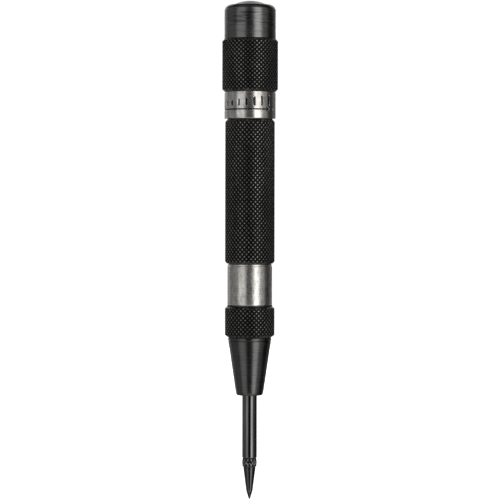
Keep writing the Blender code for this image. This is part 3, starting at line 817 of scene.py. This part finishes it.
def make_point(finish):
    """The point: steep tip, long taper, and a collar with coarse crossing ridges to grip it by.

    ridge is 1 on a ridge and 0 in a pit. foot and neck are 1 at the collar's lower and upper ends, which
    are turned down, and 0 away from them.
    """
    starts = 12
    pitch = 1.34 * MM
    samples = 12
    pit_height = POINT_LOW + 8.8 * MM
    ridge_depth = 0.24 * MM
    chamfer = 0.2 * MM
    shank_r = 1.2 * MM
    tip_centre_r = 0.005 * MM
    tip_r = 0.16 * MM
    cone_top, cone_r = POINT_LOW + 2.05 * MM, 0.81 * MM
    taper_top, taper_r = POINT_LOW + 8.1 * MM, 1.58 * MM
    point = Turning(even_angles(starts * samples))
    point.outline([
        (tip_centre_r, POINT_LOW, 0, 0),
        (tip_r, POINT_LOW, 0.03 * MM, 0),
        (cone_r, cone_top, 0.25 * MM, 0.3),
        (taper_r, taper_top, 0.05 * MM, 0),
        (taper_r - 0.03 * MM, POINT_COLLAR_LOW - 0.1 * MM, 0, 0),
    ])
    around = point.angles / TAU * starts
    steps = round((POINT_COLLAR_TOP - POINT_COLLAR_LOW) / (pitch / samples))
    for height in np.linspace(POINT_COLLAR_LOW, POINT_COLLAR_TOP, steps + 1):
        along = (height - pit_height) / pitch + 0.5
        ridge = np.maximum(saw(around + along + 0.5), saw(around - along + 0.5))
        ridge = np.clip((ridge - 0.3) / 0.6, 0, 1)
        foot = max(0.0, 1 - (height - POINT_COLLAR_LOW) / chamfer)
        neck = max(0.0, 1 - (POINT_COLLAR_TOP - height) / (2 * chamfer))
        envelope = POINT_COLLAR_R - chamfer * max(foot, neck)
        radii = np.minimum(POINT_COLLAR_R - ridge_depth * (1 - ridge), envelope)
        # Painted shade: the pits and the turned-down neck under the rod are darkened towards black.
        pit_shade = np.clip((0.8 - ridge) / 0.6, 0, 1)
        # The ridges are painted paler, as rubbed wear and partly as a painted highlight.
        worn = 0.5 * np.clip((ridge - 0.6) / 0.3, 0, 1) * (1 - neck)
        point.ring(radii, height, worn, np.maximum(pit_shade, neck))
    point.outline([
        (shank_r, POINT_COLLAR_TOP + 0.01 * MM, 0, 0),
        (shank_r, POINT_TOP, 0.3 * MM, 0),
        (ROD_CENTRE_R, POINT_TOP, 0, 0),
    ])
    point.build("punch_point_body", finish, "plunger_unit", "punch_point", hollow=False)


# ---- The springs ------------------------------------------------------------------------------------

WIRE_SHARP_DEG = 50.0


def coil_mesh(name, finish, mean_r, wire_r, length, turns, per_turn, sides):
    """A round-wire compression spring on +Z from the origin, with one closed turn at each end."""
    closed_rise = 2.2 * wire_r
    open_turns = turns - 2
    open_rise = (length - 2 * wire_r - 2 * closed_rise) / open_turns
    turn = np.linspace(0, turns, round(turns * per_turn) + 1)
    height = wire_r + closed_rise * np.minimum(turn, 1) + open_rise * np.clip(turn - 1, 0, open_turns)
    height += closed_rise * np.maximum(turn - 1 - open_turns, 0)
    phi = even_angles(sides)
    radius = mean_r + wire_r * np.cos(phi)[None, :]
    around = (TAU * turn)[:, None]
    points = np.stack([
        radius * np.cos(around), radius * np.sin(around),
        height[:, None] + wire_r * np.sin(phi)[None, :],
    ], axis=-1)
    rings = len(turn)
    index = np.arange(rings * sides).reshape(rings, sides)
    low, high = index[:-1], index[1:]
    faces = np.stack([low, high, np.roll(high, -1, axis=1), np.roll(low, -1, axis=1)], axis=-1)
    faces = faces.reshape(-1, 4).tolist()
    faces.append(index[0].tolist())
    faces.append(index[-1][::-1].tolist())
    mesh = bpy.data.meshes.new(name)
    mesh.from_pydata(points.reshape(-1, 3).tolist(), [], faces)
    mesh.materials.append(finish)
    mesh.shade_smooth()
    mesh.set_sharp_from_angle(angle=math.radians(WIRE_SHARP_DEG))
    return mesh


def make_springs(finish):
    """The three springs."""
    main = coil_mesh(
        "main_spring_coil", finish, mean_r=3.2 * MM, wire_r=0.55 * MM, length=MAIN_TOP - MAIN_LOW,
        turns=9.5, per_turn=40, sides=14,
    )
    main.transform(Matrix.Translation((0, 0, MAIN_LOW)))
    main = place("main_spring_coil", main, "seat_unit", "main_spring")
    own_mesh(main)

    back = coil_mesh(
        "return_spring_coil", finish, mean_r=2.9 * MM, wire_r=0.26 * MM, length=RETURN_TOP - RETURN_LOW,
        turns=11, per_turn=40, sides=14,
    )
    back.transform(Matrix.Translation((0, 0, RETURN_LOW)))
    back = place("return_spring_coil", back, "handle", "return_spring")
    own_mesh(back)

    low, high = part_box("trigger_spring")
    side = coil_mesh(
        "trigger_spring_coil", finish, mean_r=0.55 * MM, wire_r=0.1 * MM, length=high.x - low.x,
        turns=4.5, per_turn=24, sides=10,
    )
    middle = Vector((low.x, 0, (low.z + high.z) / 2))
    side.transform(Matrix.Translation(middle) @ Matrix.Rotation(math.pi / 2, 4, "Y"))
    side = place("trigger_spring_coil", side, "hammer_unit", "trigger_spring")
    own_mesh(side)


# ---- Light, floor and camera ------------------------------------------------------------------------


def softbox(name, azimuth_deg, height, distance, width, tall, radiance):
    """A rectangular light that faces the tool. Azimuth 0 is the camera's side, positive to its right."""
    azimuth = math.radians(azimuth_deg)
    middle = (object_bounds()[0].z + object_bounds()[1].z) / 2
    data = bpy.data.lights.new(name, "AREA")
    data.shape = "RECTANGLE"
    data.size = width
    data.size_y = tall
    data.energy = radiance * math.pi * width * tall
    light = bpy.data.objects.new(name, data)
    light.location = (distance * math.sin(azimuth), -distance * math.cos(azimuth), height)
    aim = Vector((0, 0, middle)) - light.location
    light.rotation_euler = aim.to_track_quat("-Z", "Y").to_euler()
    light.visible_camera = False
    bpy.context.scene.collection.objects.link(light)


def make_lights():
    """Soft boxes all round: azimuth, height, distance, width, tall and radiance of each.

    The gap between key and fill is the camera's own side, which stays dark. low_front and table_glow
    shine up through the floor, which casts no shadow.
    """
    softbox("key_right", 35.3, 0.12, 0.6, 0.34, 1.0, 2.1)
    softbox("side_right", 68.0, 0.12, 0.6, 0.32, 1.0, 0.3)
    softbox("fill_left", -41.5, 0.12, 0.6, 0.46, 1.0, 0.82)
    softbox("side_left", -92.0, 0.12, 0.6, 0.48, 1.0, 0.24)
    softbox("rim_left", -140.0, 0.09, 0.6, 0.42, 0.60, 0.4)
    softbox("rim_right", 140.0, 0.09, 0.6, 0.42, 0.60, 0.16)
    softbox("high_right", 50.0, 0.66, 0.32, 0.40, 0.40, 0.2)
    softbox("high_left", -60.0, 0.66, 0.32, 0.40, 0.40, 0.22)
    softbox("low_front", 0.0, -0.36, 0.36, 0.60, 0.30, 0.42)
    softbox("backdrop", 180.0, 0.38, 0.6, 0.80, 0.50, 0.75)
    softbox("back_key", 180.0, 0.0, 0.6, 0.31, 0.45, 1.5)
    softbox("table_glow", 0.0, -0.3, 0.02, 0.7, 0.7, 0.3)


def make_world():
    """White where the camera sees it, and a dim grey room where it lights the tool."""
    world = bpy.data.worlds.new("studio")
    bpy.context.scene.world = world
    world.use_nodes = True
    tree = world.node_tree
    background = tree.nodes["Background"]
    background.inputs["Color"].default_value = (0.025, 0.025, 0.025, 1)
    white = tree.nodes.new("ShaderNodeBackground")
    white.inputs["Color"].default_value = (1.05, 1.05, 1.05, 1)
    path = tree.nodes.new("ShaderNodeLightPath")
    choose = tree.nodes.new("ShaderNodeMixShader")
    tree.links.new(path.outputs["Is Camera Ray"], choose.inputs[0])
    tree.links.new(background.outputs[0], choose.inputs[1])
    tree.links.new(white.outputs[0], choose.inputs[2])
    tree.links.new(choose.outputs[0], tree.nodes["World Output"].inputs["Surface"])


def make_floor():
    """A plain white floor just under the tip, lit evenly by its own glow so that no edge shows."""
    half = 1.5
    mesh = bpy.data.meshes.new("floor")
    corners = [(-half, -half, 0), (half, -half, 0), (half, half, 0), (-half, half, 0)]
    mesh.from_pydata(corners, [], [(0, 1, 2, 3)])
    floor = bpy.data.objects.new("floor", mesh)
    floor.location.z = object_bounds()[0].z - 0.2 * MM
    bpy.context.scene.collection.objects.link(floor)
    finish = Finish("floor_white")
    grain = finish.noise((40, 40, 40), 2.0)
    colour = finish.mix(grain, (0.86, 0.86, 0.86), (0.9, 0.9, 0.9))
    mesh.materials.append(finish.done(colour, 0.9, metallic=0.0))
    finish.shader.inputs["Emission Color"].default_value = (1, 1, 1, 1)
    finish.shader.inputs["Emission Strength"].default_value = 1.0
    floor.visible_glossy = False
    floor.visible_diffuse = False
    floor.visible_shadow = False
    floor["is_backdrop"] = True


def make_camera():
    """A long lens a little above the tool's middle, looking along +Y and slightly down.

    The tool leans a tenth of a degree in the view, so the camera is rolled by as much.
    """
    distance = 0.56
    height = 0.0755
    aim_height = 0.0641
    offset = 0.05 * MM
    data = bpy.data.cameras.new("camera")
    data.sensor_width = 36.0
    data.lens = 156.9
    data.clip_start = 0.01
    camera = bpy.data.objects.new("camera", data)
    camera.location = (offset, -distance, height)
    aim = Vector((offset, 0, aim_height)) - camera.location
    roll = Matrix.Rotation(math.radians(0.1), 3, "Z")
    camera.rotation_euler = (aim.to_track_quat("-Z", "Y").to_matrix() @ roll).to_euler()
    bpy.context.scene.collection.objects.link(camera)
    bpy.context.scene.camera = camera
    bpy.context.scene.view_settings.view_transform = "Standard"


# ---- Assembly ---------------------------------------------------------------------------------------


def repaint(node, finish):
    """Gives a CAD node that stays its finish."""
    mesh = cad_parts[node].data
    mesh.materials.clear()
    mesh.materials.append(finish)


def main():
    crown_black = turned_black("black_oxide_crown", dark=0.125, light=0.17, scratch=0.6)
    nose_black = turned_black("black_oxide_nose", dark=0.07, light=0.105, scratch=0.45)
    knurled = knurled_black()
    make_nose_taper(nose_black)
    make_nose_collar(knurled)
    make_barrel_band(bright_band("bright_steel_barrel", stained=0.8, rough=0.22))
    make_barrel_grip(knurled)
    make_barrel_neck(knurled)
    make_cap_band(bright_band("bright_steel_cap", stained=0.75, rough=0.17))
    make_cap_grip(knurled)
    make_cap_crown(crown_black)
    make_end_button(button_grey())
    make_rod(glossy_black())
    make_point(point_black())
    make_springs(inner_steel("spring_steel_wire", (0.16, 0.16, 0.165), (0.26, 0.26, 0.27), 0.2, 0.34))

    hardened = inner_steel("hardened_ground_steel", (0.28, 0.27, 0.26), (0.40, 0.39, 0.375), 0.24, 0.4)
    seat_steel = inner_steel("seat_ground_steel", (0.44, 0.43, 0.41), (0.54, 0.53, 0.51), 0.2, 0.34)
    for node in ("plunger_collar", "trip_pin", "hammer", "trigger"):
        repaint(node, hardened)
    repaint("spring_seat", seat_steel)

    make_lights()
    make_world()
    make_floor()
    make_camera()


main()
